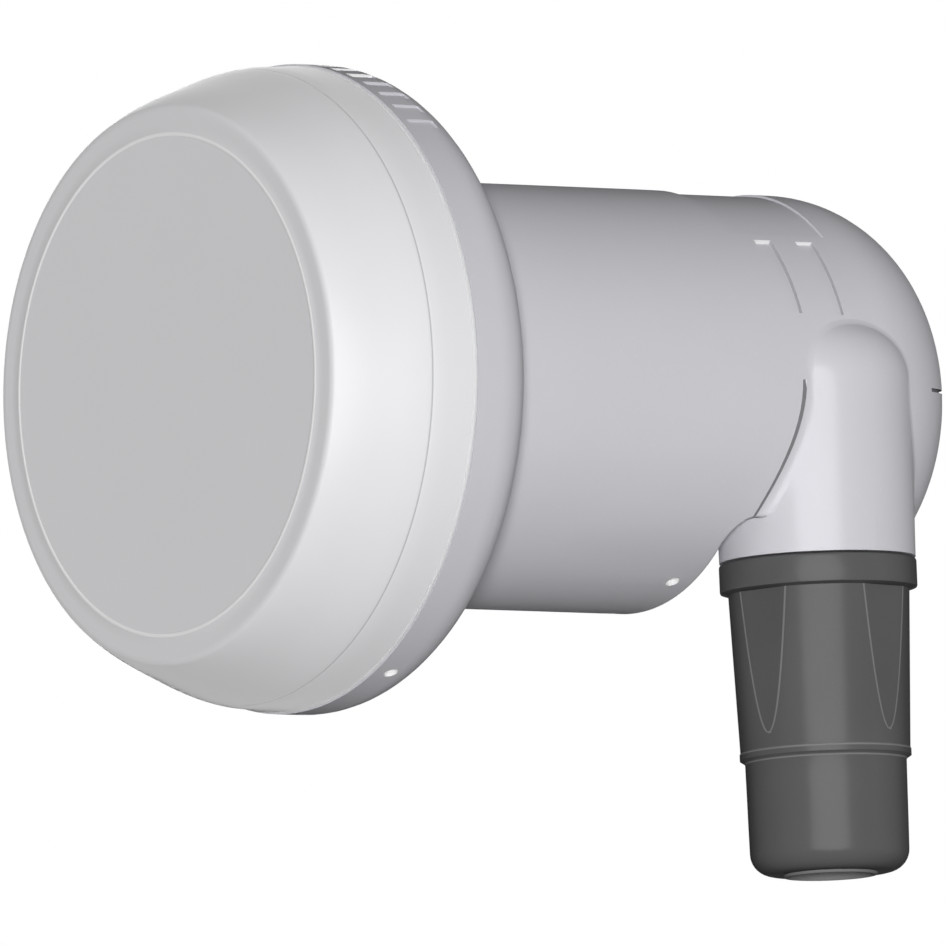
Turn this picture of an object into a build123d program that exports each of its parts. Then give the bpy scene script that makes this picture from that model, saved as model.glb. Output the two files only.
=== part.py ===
import os
from math import cos, radians, sin

from build123d import *

os.makedirs("parts", exist_ok=True)

# All lengths are in millimetres. T_ values are distances behind the flat front face of the
# feed cap, along the axis of the neck. The front looks along -Y and +Z is up.

# Clamp neck, the standard 40 mm land that a dish arm grips
NECK_R = 20.0
T_NECK_START = 21.2
T_NECK_END = 54.3
T_ORIGIN = (T_NECK_START + T_NECK_END) / 2
WALL = 1.8

# Feed cap
T_CAP_END = 13.45
CAP_RIM_R = 30.2
CAP_WALL = 1.6
CAP_EDGE_R = 0.5
CAP_EDGE_T = 0.3
CAP_FACE_R = CAP_RIM_R - 4.2
T_CAP_LOW = 4.8
CAP_LOW_R = CAP_RIM_R - 1.85
T_CAP_HIGH = 8.0
CAP_HIGH_R = CAP_RIM_R - 0.7
T_CAP_SKIRT = 10.4
CAP_SKIRT_R = CAP_RIM_R - 0.17
FACE_LINE_R = CAP_FACE_R - 2.57
FACE_LINE_W = 0.3
FACE_LINE_H = 0.1

# Reach of cuts that run right through the part
REACH = 2 * CAP_RIM_R

# Flange ring behind the cap, bonded over the front of the neck
SEAM = 0.3
T_FLANGE = T_CAP_END + SEAM
FLANGE_PROUD = 0.22
FLANGE_R = CAP_RIM_R + FLANGE_PROUD
FLANGE_EDGE_R = 4.5
SPIGOT_CLEARANCE = 0.2
SPIGOT_R = CAP_RIM_R - CAP_WALL - SPIGOT_CLEARANCE
SPIGOT_WALL = 1.5
T_SPIGOT = 11.0
T_SHOULDER = 17.0
REBATE = 0.5
RING_FIT = 0.05

# Skew scale pockets on the top of the flange and drain holes underneath
SCALE_PITCH = 5.0
SCALE_COUNT = 16
SCALE_W = 1.27
SCALE_DEPTH = 0.3
T_SCALE_START = 14.5
T_SCALE_END = 17.6
DRAIN_R = 0.72
T_FLANGE_DRAIN = 15.7
FLANGE_DRAIN_ANGLE = 27.5
T_NECK_DRAIN = 51.6
NECK_DRAIN_ANGLE = 29.7

# Rear body and dome
REAR_R = 19.9
T_DOME = 69.2
DOME_R = 13.3
DOME_FLAT_R = REAR_R - DOME_R
T_REAR = T_DOME + DOME_R

# Step cut out of the lower rear
T_STEP = T_NECK_END
STEP_Z = -11.45
STEP_CORNER_R = 2.5
STEP_EDGE_R = 0.5

# Shallow recesses on the rear body
LABEL_T0 = 56.3
LABEL_T1 = 67.3
LABEL_ANGLE = 39.5
LABEL_DEPTH = 0.25
SLOT_STARTS = (58.5, 63.4)
SLOT_W = 2.0
SLOT_FROM = 42.0
SLOT_TO = 67.0
SLOT_DEPTH = 0.4
PARTING_Z = 1.05
T_PARTING = 76.0
PARTING_W = 0.35
PARTING_DEPTH = 0.3

# Connector boss, leaning outwards as it goes down
TILT = 3.95
BOSS_X = 13.4
BOSS_T = 66.0
BOSS_Z = -15.1
BOSS_R = 9.25
BOSS_TOP_R = 9.5
BOSS_SIDE = 16.6
BOSS_ROUND_R = 6.2
BOSS_FLOOR = 1.8
BOSS_BORE_R = 7.3
BOSS_COVE_R = 1.2
CREASE_TOP = 16.1
CREASE_LOW_OUT = 0.86
CREASE_TOP_OUT = 0.28
CREASE_W = 0.3
CREASE_DEPTH = 0.35
NOSE_R = 7.1
NOSE_BORE_R = 6.0
NOSE_LENGTH = 5.0

# Weather boot
BOOT_GAP = 0.15
BOOT_CLEARANCE = 0.1
BOOT_COLLAR_R = 9.3
BOOT_COLLAR = 2.85
BOOT_CHAMFER = 0.2
BOOT_TOP_R = 8.53
BOOT_LOW_R = 8.0
BOOT_STEP = 18.0
BOOT_BEAD = 0.08
BOOT_BEAD_W = 0.7
BOOT_STEP_W = 1.05
BOOT_TAIL_R = 7.6
BOOT_TAIL_LOW_R = 7.5
BOOT_LENGTH = 29.6
BOOT_BOTTOM_R = 2.1
BOOT_CAVITY_R = 6.5
BOOT_FLOOR = 2.6
BOOT_FLAT = 8.05
BOOT_FLAT_ANGLE = 12.0
BOOT_LIP_R = 4.4
BOOT_LIP = 0.25
CABLE_HOLE_R = 4.0

# Threaded connector, 3/8 inch over the thread
THREAD_R = 4.76
BARREL_R = 5.0
THREAD_TOP = -1.0
BARREL_OUT = 15.0
BARREL_IN = 7.0
BARREL_BORE_R = 3.3
INSULATOR_CLEARANCE = 0.05
CONTACT_R = 0.95
CONTACT_BORE_R = 0.55
CONTACT_IN = 9.2
HOLE_CLEARANCE = 0.15
LUG_R = 6.6
LUG_START = 3.4
SEAL_MINOR_R = 0.78

# Horn casting
CASTING_SCREW_R = SPIGOT_R - SPIGOT_WALL - 2.2
GUIDE_R = 8.75
GUIDE_OUTER_R = 11.0
HORN_WALL = 1.4
T_HORN = 4.2
CHOKE_PITCH = 3.6
CHOKE_WALL = 1.2
CHOKE_OUT_R = CASTING_SCREW_R - 3.1
CHOKE_RADII = (CHOKE_OUT_R - CHOKE_PITCH, CHOKE_OUT_R)
HORN_MOUTH_R = CHOKE_OUT_R - CHOKE_PITCH - 2.8
T_CHOKE = 4.8
T_PLATE = 14.4
PLATE_CLEARANCE = 0.4
T_SEAT = 54.0
T_BOARD = 57.0
SEAT_R = 16.6
SEAT_FLAT_Z = -9.6
ARM_X0 = 10.6
ARM_X1 = 15.4
ARM_TOP_Z = -6.2
ARM_END_T = 66.0

# Circuit board and what sits on it
BOARD = 0.8
BOARD_R = SEAT_R - PLATE_CLEARANCE
BOARD_FLAT_Z = -8.8
CORNER_X = 8.6
CORNER_Z = -5.4
WINDOW_R = GUIDE_R - HOLE_CLEARANCE
TONGUE_W = 2.4
TONGUE_TIP_R = 3.6
COPPER = 0.1
PROBE_W = 1.1
PROBE_ROOT_R = WINDOW_R + 1.6
TRANSISTOR_ANGLES = (112.0, 158.0, 200.0)
MIXER_ANGLE = 62.0
CRYSTAL_ANGLE = 38.0
CAPACITOR_ANGLES = (50.0, 75.0, 101.0, 122.0, 148.0, 169.0, 214.0)

# Shield cover with its closed cup behind the wave guide
COVER_WALL = 1.2
COVER_R = SEAT_R - COVER_WALL
COVER_POCKET = 2.2
COVER_FLAT_Z = -8.0
COVER_CORNER_Z = -1.0
CUP_R = GUIDE_R + 1.05
PART_R = (CUP_R + COVER_R - COVER_WALL / 2) / 2
CUP_DEPTH = 6.4
SCREW_R = 1.0
SCREW_HEAD_R = 1.9
SCREW_HEAD = 1.2
SCREW_BITE = 2.2
POST_R = 1.7
COVER_SCREW_ANGLES = (20.0, 88.0, 135.0, 182.0)
CASTING_SCREW_ANGLES = (30.0, 150.0, 270.0)
CASTING_HEAD_R = 1.4
CASTING_BITE = 3.0
SCREW_SLOT_W = 0.5
SCREW_SLOT = 0.5


def at(t):
    # Y position of a distance behind the front face
    return t - T_ORIGIN


# Planes and axes shared by the sub-parts
UP = Vector(-sin(radians(TILT)), 0, cos(radians(TILT)))
OUT = Vector(cos(radians(TILT)), 0, sin(radians(TILT)))
BOSS_FOOT = Vector(BOSS_X, at(BOSS_T), BOSS_Z)
BOSS_AXIS = Axis(BOSS_FOOT, UP)
BOSS_PROFILE = Plane(origin=BOSS_FOOT, x_dir=OUT, z_dir=(0, -1, 0))
AXIAL = Plane.YZ


def across(t):
    # Plane square to the neck: local x is +X, local y is +Z, looking from the rear
    return Plane(origin=(0, at(t), 0), x_dir=(1, 0, 0), z_dir=(0, -1, 0))


def boss_level(s):
    # Plane square to the connector axis at a height above the boss foot
    return Plane(origin=BOSS_FOOT + UP * s, x_dir=OUT, z_dir=UP)


def radial(t, angle):
    # Plane that faces outwards at an angle from the top, turning towards +X
    a = radians(angle)
    return Plane(origin=(0, at(t), 0), x_dir=(0, 1, 0), z_dir=(sin(a), 0, cos(a)))


def lengthwise(angle):
    # Half plane through the neck axis at an angle from the top, turning towards +X
    a = radians(angle)
    return Plane(origin=(0, 0, 0), x_dir=(0, 1, 0), z_dir=(cos(a), 0, -sin(a)))


# Feed cap: a thin moulded dome, closed at the front
with BuildPart() as feed_cap:
    with BuildSketch(AXIAL) as cap_section:
        with BuildLine():
            face = Line((at(0), 0), (at(0), CAP_FACE_R - CAP_EDGE_R))
            edge = Spline(
                face @ 1,
                (at(CAP_EDGE_T), CAP_FACE_R + CAP_EDGE_T),
                tangents=((0, 1), (1, 0.65)),
            )
            flank = Spline(
                edge @ 1,
                (at(T_CAP_LOW), CAP_LOW_R),
                (at(T_CAP_HIGH), CAP_HIGH_R),
                (at(T_CAP_SKIRT), CAP_SKIRT_R),
                tangents=((1, 0.65), (1, 0.1)),
            )
            skirt = Line(flank @ 1, (at(T_CAP_END), CAP_RIM_R))
            rim = Line(skirt @ 1, (at(T_CAP_END), CAP_RIM_R - CAP_WALL))
            skirt_in = Line(rim @ 1, (at(T_CAP_SKIRT), CAP_SKIRT_R - CAP_WALL))
            flank_in = Spline(
                skirt_in @ 1,
                (at(T_CAP_LOW + CAP_WALL / 3), CAP_LOW_R - CAP_WALL + CAP_EDGE_T / 2),
                (at(CAP_WALL), CAP_FACE_R - 0.75 * CAP_WALL),
                tangents=((-1, -0.12), (-1, -0.7)),
            )
            face_in = Line(flank_in @ 1, (at(CAP_WALL), 0))
            Line(face_in @ 1, face @ 0)
        make_face()
    revolve(axis=Axis.Y)
    with BuildSketch(AXIAL) as line_section:
        with BuildLine():
            foot = Line((at(FACE_LINE_H), FACE_LINE_R - FACE_LINE_W), (at(FACE_LINE_H), FACE_LINE_R + FACE_LINE_W))
            ThreePointArc(foot @ 0, (at(-FACE_LINE_H), FACE_LINE_R), foot @ 1)
        make_face()
    revolve(axis=Axis.Y)

feed_cap.part.label = "feed_cap"
export_step(feed_cap.part, "parts/feed_cap.step")

# Flat seal squeezed between the cap and the flange
with BuildPart() as cap_seal:
    with BuildSketch(across(T_FLANGE)):
        Circle(CAP_RIM_R + FLANGE_PROUD / 2)
        Circle(SPIGOT_R + SPIGOT_CLEARANCE / 2, mode=Mode.SUBTRACT)
    extrude(amount=SEAM)

cap_seal.part.label = "cap_seal"
export_step(cap_seal.part, "parts/cap_seal.step")

# Flange ring with the skew scale
with BuildPart() as flange_ring:
    with BuildSketch(AXIAL):
        with BuildLine():
            f0 = Polyline(
                (at(T_SHOULDER), SPIGOT_R - SPIGOT_WALL),
                (at(T_SPIGOT), SPIGOT_R - SPIGOT_WALL),
                (at(T_SPIGOT), SPIGOT_R),
                (at(T_FLANGE), SPIGOT_R),
                (at(T_FLANGE), FLANGE_R),
                (at(T_NECK_START - FLANGE_EDGE_R), FLANGE_R),
            )
            f1 = RadiusArc(f0 @ 1, (at(T_NECK_START), FLANGE_R - FLANGE_EDGE_R), FLANGE_EDGE_R)
            Polyline(
                f1 @ 1,
                (at(T_NECK_START), NECK_R - REBATE + RING_FIT),
                (at(T_SHOULDER), NECK_R - REBATE + RING_FIT),
                f0 @ 0,
            )
        make_face()
    revolve(axis=Axis.Y)
    # skew scale
    for k in range(SCALE_COUNT):
        mark = (k - (SCALE_COUNT - 1) / 2) * SCALE_PITCH
        with BuildSketch(radial(T_SCALE_START, mark).offset(FLANGE_R - SCALE_DEPTH)):
            Rectangle(T_SCALE_END - T_SCALE_START, SCALE_W, align=(Align.MIN, Align.CENTER))
        extrude(amount=2, mode=Mode.SUBTRACT)
    # drain holes
    for turn in (-1, 0, 1):
        with BuildSketch(radial(T_FLANGE_DRAIN, 180 + turn * FLANGE_DRAIN_ANGLE).offset(SPIGOT_R - 2 * SPIGOT_WALL)):
            Circle(DRAIN_R)
        extrude(amount=REACH, mode=Mode.SUBTRACT)
    # screw holes in the shoulder
    with BuildSketch(across(T_SHOULDER)):
        for angle in CASTING_SCREW_ANGLES:
            with Locations((CASTING_SCREW_R * cos(radians(angle)), CASTING_SCREW_R * sin(radians(angle)))):
                Circle(SCREW_R)
    extrude(amount=-CASTING_BITE, mode=Mode.SUBTRACT)

flange_ring.part.label = "flange_ring"
export_step(flange_ring.part, "parts/flange_ring.step")

# Space inside the housing, kept one wall away from the outside
with BuildPart() as housing_space:
    with BuildSketch(AXIAL):
        with BuildLine():
            dome_in = DOME_R - WALL
            p0 = Line((at(T_SHOULDER - 1), 0), (at(T_SHOULDER - 1), NECK_R - WALL))
            p3 = Line(p0 @ 1, (at(T_NECK_END), NECK_R - WALL))
            p4 = Line(p3 @ 1, (at(T_DOME), REAR_R - WALL))
            p5 = RadiusArc(p4 @ 1, (at(T_DOME + dome_in), DOME_FLAT_R), dome_in)
            p6 = Line(p5 @ 1, (at(T_DOME + dome_in), 0))
            Line(p6 @ 1, p0 @ 0)
        make_face()
    revolve(axis=Axis.Y)
    with BuildSketch(Plane.YZ.offset(-NECK_R - 5)):
        with Locations((at(T_STEP - 1.5), STEP_Z + 1.5)):
            Rectangle(REACH, REACH, align=(Align.MIN, Align.MAX))
    extrude(amount=2 * NECK_R + 10, mode=Mode.SUBTRACT)
    with BuildSketch(boss_level(BOSS_FLOOR)):
        Circle(BOSS_BORE_R)
    extrude(amount=BOSS_SIDE - 1)

# Fine parting groove round the rear dome
with BuildPart() as parting_cut:
    with BuildSketch(Plane.XY.offset(PARTING_Z - PARTING_W / 2)):
        with Locations((0, at(T_PARTING))):
            Rectangle(3 * NECK_R, DOME_R, align=(Align.CENTER, Align.MIN))
    extrude(amount=PARTING_W)
    with BuildSketch(AXIAL):
        with BuildLine():
            dome_cut = DOME_R - PARTING_DEPTH
            g0 = Line((at(T_NECK_END), 0), (at(T_NECK_END), NECK_R - PARTING_DEPTH))
            g1 = Line(g0 @ 1, (at(T_DOME), REAR_R - PARTING_DEPTH))
            g2 = RadiusArc(g1 @ 1, (at(T_DOME + dome_cut), DOME_FLAT_R), dome_cut)
            g3 = Line(g2 @ 1, (at(T_DOME + dome_cut), 0))
            Line(g3 @ 1, g0 @ 0)
        make_face()
    revolve(axis=Axis.Y, mode=Mode.SUBTRACT)

# Boss with a rounded top, turned on the leaning connector axis
with BuildPart() as boss_body:
    with BuildSketch(BOSS_PROFILE):
        with BuildLine():
            b0 = Line((0, 0), (BOSS_R, 0))
            b1 = Line(b0 @ 1, (BOSS_TOP_R, BOSS_SIDE))
            b2 = RadiusArc(b1 @ 1, (BOSS_TOP_R - BOSS_ROUND_R, BOSS_SIDE + BOSS_ROUND_R), -BOSS_ROUND_R)
            b3 = Line(b2 @ 1, (0, BOSS_SIDE + BOSS_ROUND_R))
            Line(b3 @ 1, b0 @ 0)
        make_face()
    revolve(axis=BOSS_AXIS)

# Fine relief groove along the foot of the cove between the boss and the neck
with BuildPart() as crease_cut:
    with BuildSketch(BOSS_PROFILE):
        with BuildLine():
            crease_low = (STEP_Z - STEP_EDGE_R - BOSS_Z) / cos(radians(TILT))
            Polyline(
                (BOSS_R + CREASE_LOW_OUT, crease_low),
                (BOSS_TOP_R + CREASE_TOP_OUT, CREASE_TOP),
                (BOSS_TOP_R + CREASE_TOP_OUT + CREASE_W, CREASE_TOP),
                (BOSS_R + CREASE_LOW_OUT + CREASE_W, crease_low),
                close=True,
            )
        make_face()
    revolve(axis=BOSS_AXIS)
    with BuildSketch(across(T_NECK_START)):
        Circle(NECK_R - CREASE_DEPTH)
    extrude(amount=-REACH, mode=Mode.SUBTRACT)
    with BuildSketch(Plane.XY.offset(-REACH)):
        with Locations((0, at(BOSS_T - BOSS_R / 2))):
            Rectangle(2 * REACH, REACH, align=(Align.CENTER, Align.MIN))
    extrude(amount=2 * REACH, mode=Mode.SUBTRACT)

# Outer housing: neck, dome and connector boss in one moulding
with BuildPart() as outer_housing:
    with BuildSketch(AXIAL):
        with BuildLine():
            q0 = Line((at(T_SHOULDER), 0), (at(T_SHOULDER), NECK_R - REBATE))
            q1 = Line(q0 @ 1, (at(T_NECK_START), NECK_R - REBATE))
            q5 = Line(q1 @ 1, (at(T_NECK_START), NECK_R))
            q6 = Line(q5 @ 1, (at(T_NECK_END), NECK_R))
            q7 = Line(q6 @ 1, (at(T_DOME), REAR_R))
            q8 = RadiusArc(q7 @ 1, (at(T_REAR), DOME_FLAT_R), DOME_R)
            q9 = Line(q8 @ 1, (at(T_REAR), 0))
            Line(q9 @ 1, q0 @ 0)
        make_face()
    revolve(axis=Axis.Y)
    # boss, with a small cove where its front meets the neck
    add(boss_body.part)
    boss_root = outer_housing.edges().filter_by(GeomType.BSPLINE).sort_by(Axis.Y)[0]
    fillet(boss_root, BOSS_COVE_R)
    # step out of the lower rear, with a rounded inner corner
    with BuildSketch(Plane.YZ.offset(-NECK_R - 5)) as step_section:
        with Locations((at(T_STEP), STEP_Z)):
            Rectangle(REACH, REACH, align=(Align.MIN, Align.MAX))
        corner = step_section.vertices().sort_by(Axis.Y)[-2:].sort_by(Axis.X)[0]
        fillet(corner, STEP_CORNER_R)
    extrude(amount=2 * NECK_R + 10, mode=Mode.SUBTRACT)
    # rounded edge of the neck, where the step begins
    near_step = (at(T_STEP) - STEP_EDGE_R, at(T_STEP) + STEP_EDGE_R)
    step_edges = outer_housing.edges().filter_by(GeomType.CIRCLE).filter_by_position(Axis.Y, *near_step)
    fillet(step_edges.sort_by(Axis.Z)[0], STEP_EDGE_R)
    # foot of the boss, which hangs below the step
    add(boss_body.part)
    add(crease_cut.part, mode=Mode.SUBTRACT)
    add(housing_space.part, mode=Mode.SUBTRACT)
    add(parting_cut.part, mode=Mode.SUBTRACT)
    # nose under the boss that the boot pushes onto
    with BuildSketch(boss_level(-NOSE_LENGTH)):
        Circle(NOSE_R)
        Circle(NOSE_BORE_R, mode=Mode.SUBTRACT)
    extrude(amount=NOSE_LENGTH + 0.5)
    with BuildSketch(boss_level(-0.5)):
        Circle(BARREL_R + HOLE_CLEARANCE)
    extrude(amount=BOSS_FLOOR + 1, mode=Mode.SUBTRACT)
    # bare label recess over the top and two slots on each side
    with BuildSketch(lengthwise(-LABEL_ANGLE)):
        with Locations((at(LABEL_T0), REAR_R + 0.05 - LABEL_DEPTH)):
            Rectangle(LABEL_T1 - LABEL_T0, 3, align=(Align.MIN, Align.MIN))
    revolve(axis=Axis.Y, revolution_arc=2 * LABEL_ANGLE, mode=Mode.SUBTRACT)
    for slot_t in SLOT_STARTS:
        for slot_from in (SLOT_FROM, -SLOT_TO):
            with BuildSketch(lengthwise(slot_from)):
                with Locations((at(slot_t), REAR_R + 0.05 - SLOT_DEPTH)):
                    Rectangle(SLOT_W, 3, align=(Align.MIN, Align.MIN))
            revolve(axis=Axis.Y, revolution_arc=SLOT_TO - SLOT_FROM, mode=Mode.SUBTRACT)
    # drain holes
    for turn in (-1, 0, 1):
        with BuildSketch(radial(T_NECK_DRAIN, 180 + turn * NECK_DRAIN_ANGLE).offset(NECK_R - 2 * WALL)):
            Circle(DRAIN_R)
        extrude(amount=REACH, mode=Mode.SUBTRACT)

outer_housing.part.label = "outer_housing"
export_step(outer_housing.part, "parts/outer_housing.step")

# Horn casting: corrugated horn, wave guide, board seat and the lug of the connector
with BuildPart() as horn_casting:
    plate_r = SPIGOT_R - SPIGOT_WALL - PLATE_CLEARANCE
    with BuildSketch(AXIAL):
        with BuildLine():
            Polyline(
                (at(T_HORN), HORN_MOUTH_R),
                (at(T_HORN), HORN_MOUTH_R + HORN_WALL),
                (at(T_PLATE), HORN_MOUTH_R + HORN_WALL),
                (at(T_PLATE), plate_r),
                (at(T_SHOULDER), plate_r),
                (at(T_SHOULDER), NECK_R - WALL - PLATE_CLEARANCE),
                (at(T_SHOULDER + 3), NECK_R - WALL - PLATE_CLEARANCE),
                (at(T_SHOULDER + 10), GUIDE_OUTER_R),
                (at(T_SEAT), GUIDE_OUTER_R),
                (at(T_SEAT), SEAT_R),
                (at(T_BOARD), SEAT_R),
                (at(T_BOARD), GUIDE_R),
                (at(T_SHOULDER + 4), GUIDE_R),
                close=True,
            )
        make_face()
    revolve(axis=Axis.Y)
    with BuildSketch(across(T_PLATE)):
        for choke_r in CHOKE_RADII:
            Circle(choke_r + CHOKE_WALL)
            Circle(choke_r, mode=Mode.SUBTRACT)
    extrude(amount=T_PLATE - T_CHOKE)
    with BuildSketch(across(T_SHOULDER)):
        for angle in CASTING_SCREW_ANGLES:
            with Locations((CASTING_SCREW_R * cos(radians(angle)), CASTING_SCREW_R * sin(radians(angle)))):
                Circle(SCREW_R + HOLE_CLEARANCE)
    extrude(amount=T_SHOULDER - T_PLATE, mode=Mode.SUBTRACT)
    with BuildSketch(Plane.YZ.offset(-NECK_R)):
        with Locations((at(T_SEAT - 2), SEAT_FLAT_Z)):
            Rectangle(REACH, REACH, align=(Align.MIN, Align.MAX))
    extrude(amount=2 * NECK_R, mode=Mode.SUBTRACT)
    with BuildSketch(Plane.XY.offset(SEAT_FLAT_Z)):
        with Locations((ARM_X0, at(T_SEAT))):
            Rectangle(ARM_X1 - ARM_X0, ARM_END_T - T_SEAT, align=(Align.MIN, Align.MIN))
    extrude(amount=ARM_TOP_Z - SEAT_FLAT_Z)
    with BuildSketch(boss_level(LUG_START)):
        Circle(LUG_R)
    extrude(amount=BARREL_IN - LUG_START)
    with BuildSketch(boss_level(LUG_START - 1)):
        Circle(BARREL_R)
    extrude(amount=BARREL_IN - LUG_START + 6, mode=Mode.SUBTRACT)
    with BuildSketch(across(T_BOARD)):
        Circle(CUP_R + PLATE_CLEARANCE)
    extrude(amount=-REACH, mode=Mode.SUBTRACT)
    with BuildSketch(across(T_BOARD)):
        for angle in COVER_SCREW_ANGLES:
            with Locations((PART_R * cos(radians(angle)), PART_R * sin(radians(angle)))):
                Circle(SCREW_R)
    extrude(amount=SCREW_BITE, mode=Mode.SUBTRACT)

horn_casting.part.label = "horn_casting"
export_step(horn_casting.part, "parts/horn_casting.step")

# Screws that hold the casting to the shoulder of the housing
with BuildPart() as casting_screws:
    with BuildSketch(across(T_PLATE)):
        for angle in CASTING_SCREW_ANGLES:
            with Locations((CASTING_SCREW_R * cos(radians(angle)), CASTING_SCREW_R * sin(radians(angle)))):
                Circle(CASTING_HEAD_R)
    extrude(amount=SCREW_HEAD)
    with BuildSketch(across(T_PLATE)):
        for angle in CASTING_SCREW_ANGLES:
            with Locations((CASTING_SCREW_R * cos(radians(angle)), CASTING_SCREW_R * sin(radians(angle)))):
                Circle(SCREW_R)
    extrude(amount=-(T_SHOULDER - T_PLATE + CASTING_BITE))
    with BuildSketch(across(T_PLATE - SCREW_HEAD + SCREW_SLOT)):
        for angle in CASTING_SCREW_ANGLES:
            with Locations((CASTING_SCREW_R * cos(radians(angle)), CASTING_SCREW_R * sin(radians(angle)))):
                Rectangle(2 * CASTING_HEAD_R + 1, SCREW_SLOT_W)
    extrude(amount=SCREW_SLOT + 1, mode=Mode.SUBTRACT)

casting_screws.part.label = "casting_screws"
export_step(casting_screws.part, "parts/casting_screws.step")

# Circuit board, with two tongues that reach into the wave guide
with BuildPart() as circuit_board:
    with BuildSketch(across(T_BOARD)):
        Circle(BOARD_R)
        Circle(WINDOW_R, mode=Mode.SUBTRACT)
        with Locations((-TONGUE_TIP_R, 0)):
            Rectangle(WINDOW_R - TONGUE_TIP_R + 1, TONGUE_W, align=(Align.MAX, Align.CENTER))
        with Locations((0, TONGUE_TIP_R)):
            Rectangle(TONGUE_W, WINDOW_R - TONGUE_TIP_R + 1, align=(Align.CENTER, Align.MIN))
        with Locations((0, BOARD_FLAT_Z)):
            Rectangle(REACH, REACH, align=(Align.CENTER, Align.MAX), mode=Mode.SUBTRACT)
        with Locations((CORNER_X, CORNER_Z)):
            Rectangle(REACH, REACH, align=(Align.MIN, Align.MAX), mode=Mode.SUBTRACT)
        for angle in COVER_SCREW_ANGLES:
            with Locations((PART_R * cos(radians(angle)), PART_R * sin(radians(angle)))):
                Circle(SCREW_R + HOLE_CLEARANCE, mode=Mode.SUBTRACT)
    extrude(amount=-BOARD)

circuit_board.part.label = "circuit_board"
export_step(circuit_board.part, "parts/circuit_board.step")

T_TOP = T_BOARD + BOARD

# Copper probes for the two polarisations
with BuildPart() as horizontal_probe:
    with BuildSketch(across(T_TOP)):
        with Locations((-TONGUE_TIP_R - 0.4, 0)):
            Rectangle(PROBE_ROOT_R - TONGUE_TIP_R, PROBE_W, align=(Align.MAX, Align.CENTER))
    extrude(amount=-COPPER)

horizontal_probe.part.label = "horizontal_probe"
export_step(horizontal_probe.part, "parts/horizontal_probe.step")

with BuildPart() as vertical_probe:
    with BuildSketch(across(T_TOP)):
        with Locations((0, TONGUE_TIP_R + 0.4)):
            Rectangle(PROBE_W, PROBE_ROOT_R - TONGUE_TIP_R, align=(Align.CENTER, Align.MIN))
    extrude(amount=-COPPER)

vertical_probe.part.label = "vertical_probe"
export_step(vertical_probe.part, "parts/vertical_probe.step")


def parts_on_board(angles, along, wide):
    # Rectangles turned to follow the ring of parts on the board
    for angle in angles:
        with Locations((PART_R * cos(radians(angle)), PART_R * sin(radians(angle)))):
            Rectangle(wide, along, rotation=angle)


# Parts soldered to the rear of the board
with BuildPart() as amplifier_transistors:
    with BuildSketch(across(T_TOP)):
        parts_on_board(TRANSISTOR_ANGLES, 2.0, 1.3)
    extrude(amount=-0.9)

amplifier_transistors.part.label = "amplifier_transistors"
export_step(amplifier_transistors.part, "parts/amplifier_transistors.step")

with BuildPart() as mixer_chip:
    with BuildSketch(across(T_TOP)):
        parts_on_board((MIXER_ANGLE,), 2.6, 2.6)
    extrude(amount=-0.9)

mixer_chip.part.label = "mixer_chip"
export_step(mixer_chip.part, "parts/mixer_chip.step")

with BuildPart() as reference_crystal:
    with BuildSketch(across(T_TOP)):
        parts_on_board((CRYSTAL_ANGLE,), 2.5, 2.0)
    extrude(amount=-0.7)

reference_crystal.part.label = "reference_crystal"
export_step(reference_crystal.part, "parts/reference_crystal.step")

with BuildPart() as voltage_regulator:
    with BuildSketch(across(T_TOP)):
        with Locations((PART_R + 0.2, 0.6)):
            Rectangle(2.4, 2.4)
    extrude(amount=-1.4)

voltage_regulator.part.label = "voltage_regulator"
export_step(voltage_regulator.part, "parts/voltage_regulator.step")

with BuildPart() as chip_capacitors:
    with BuildSketch(across(T_TOP)):
        parts_on_board(CAPACITOR_ANGLES, 0.8, 1.5)
    extrude(amount=-0.7)

chip_capacitors.part.label = "chip_capacitors"
export_step(chip_capacitors.part, "parts/chip_capacitors.step")

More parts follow.
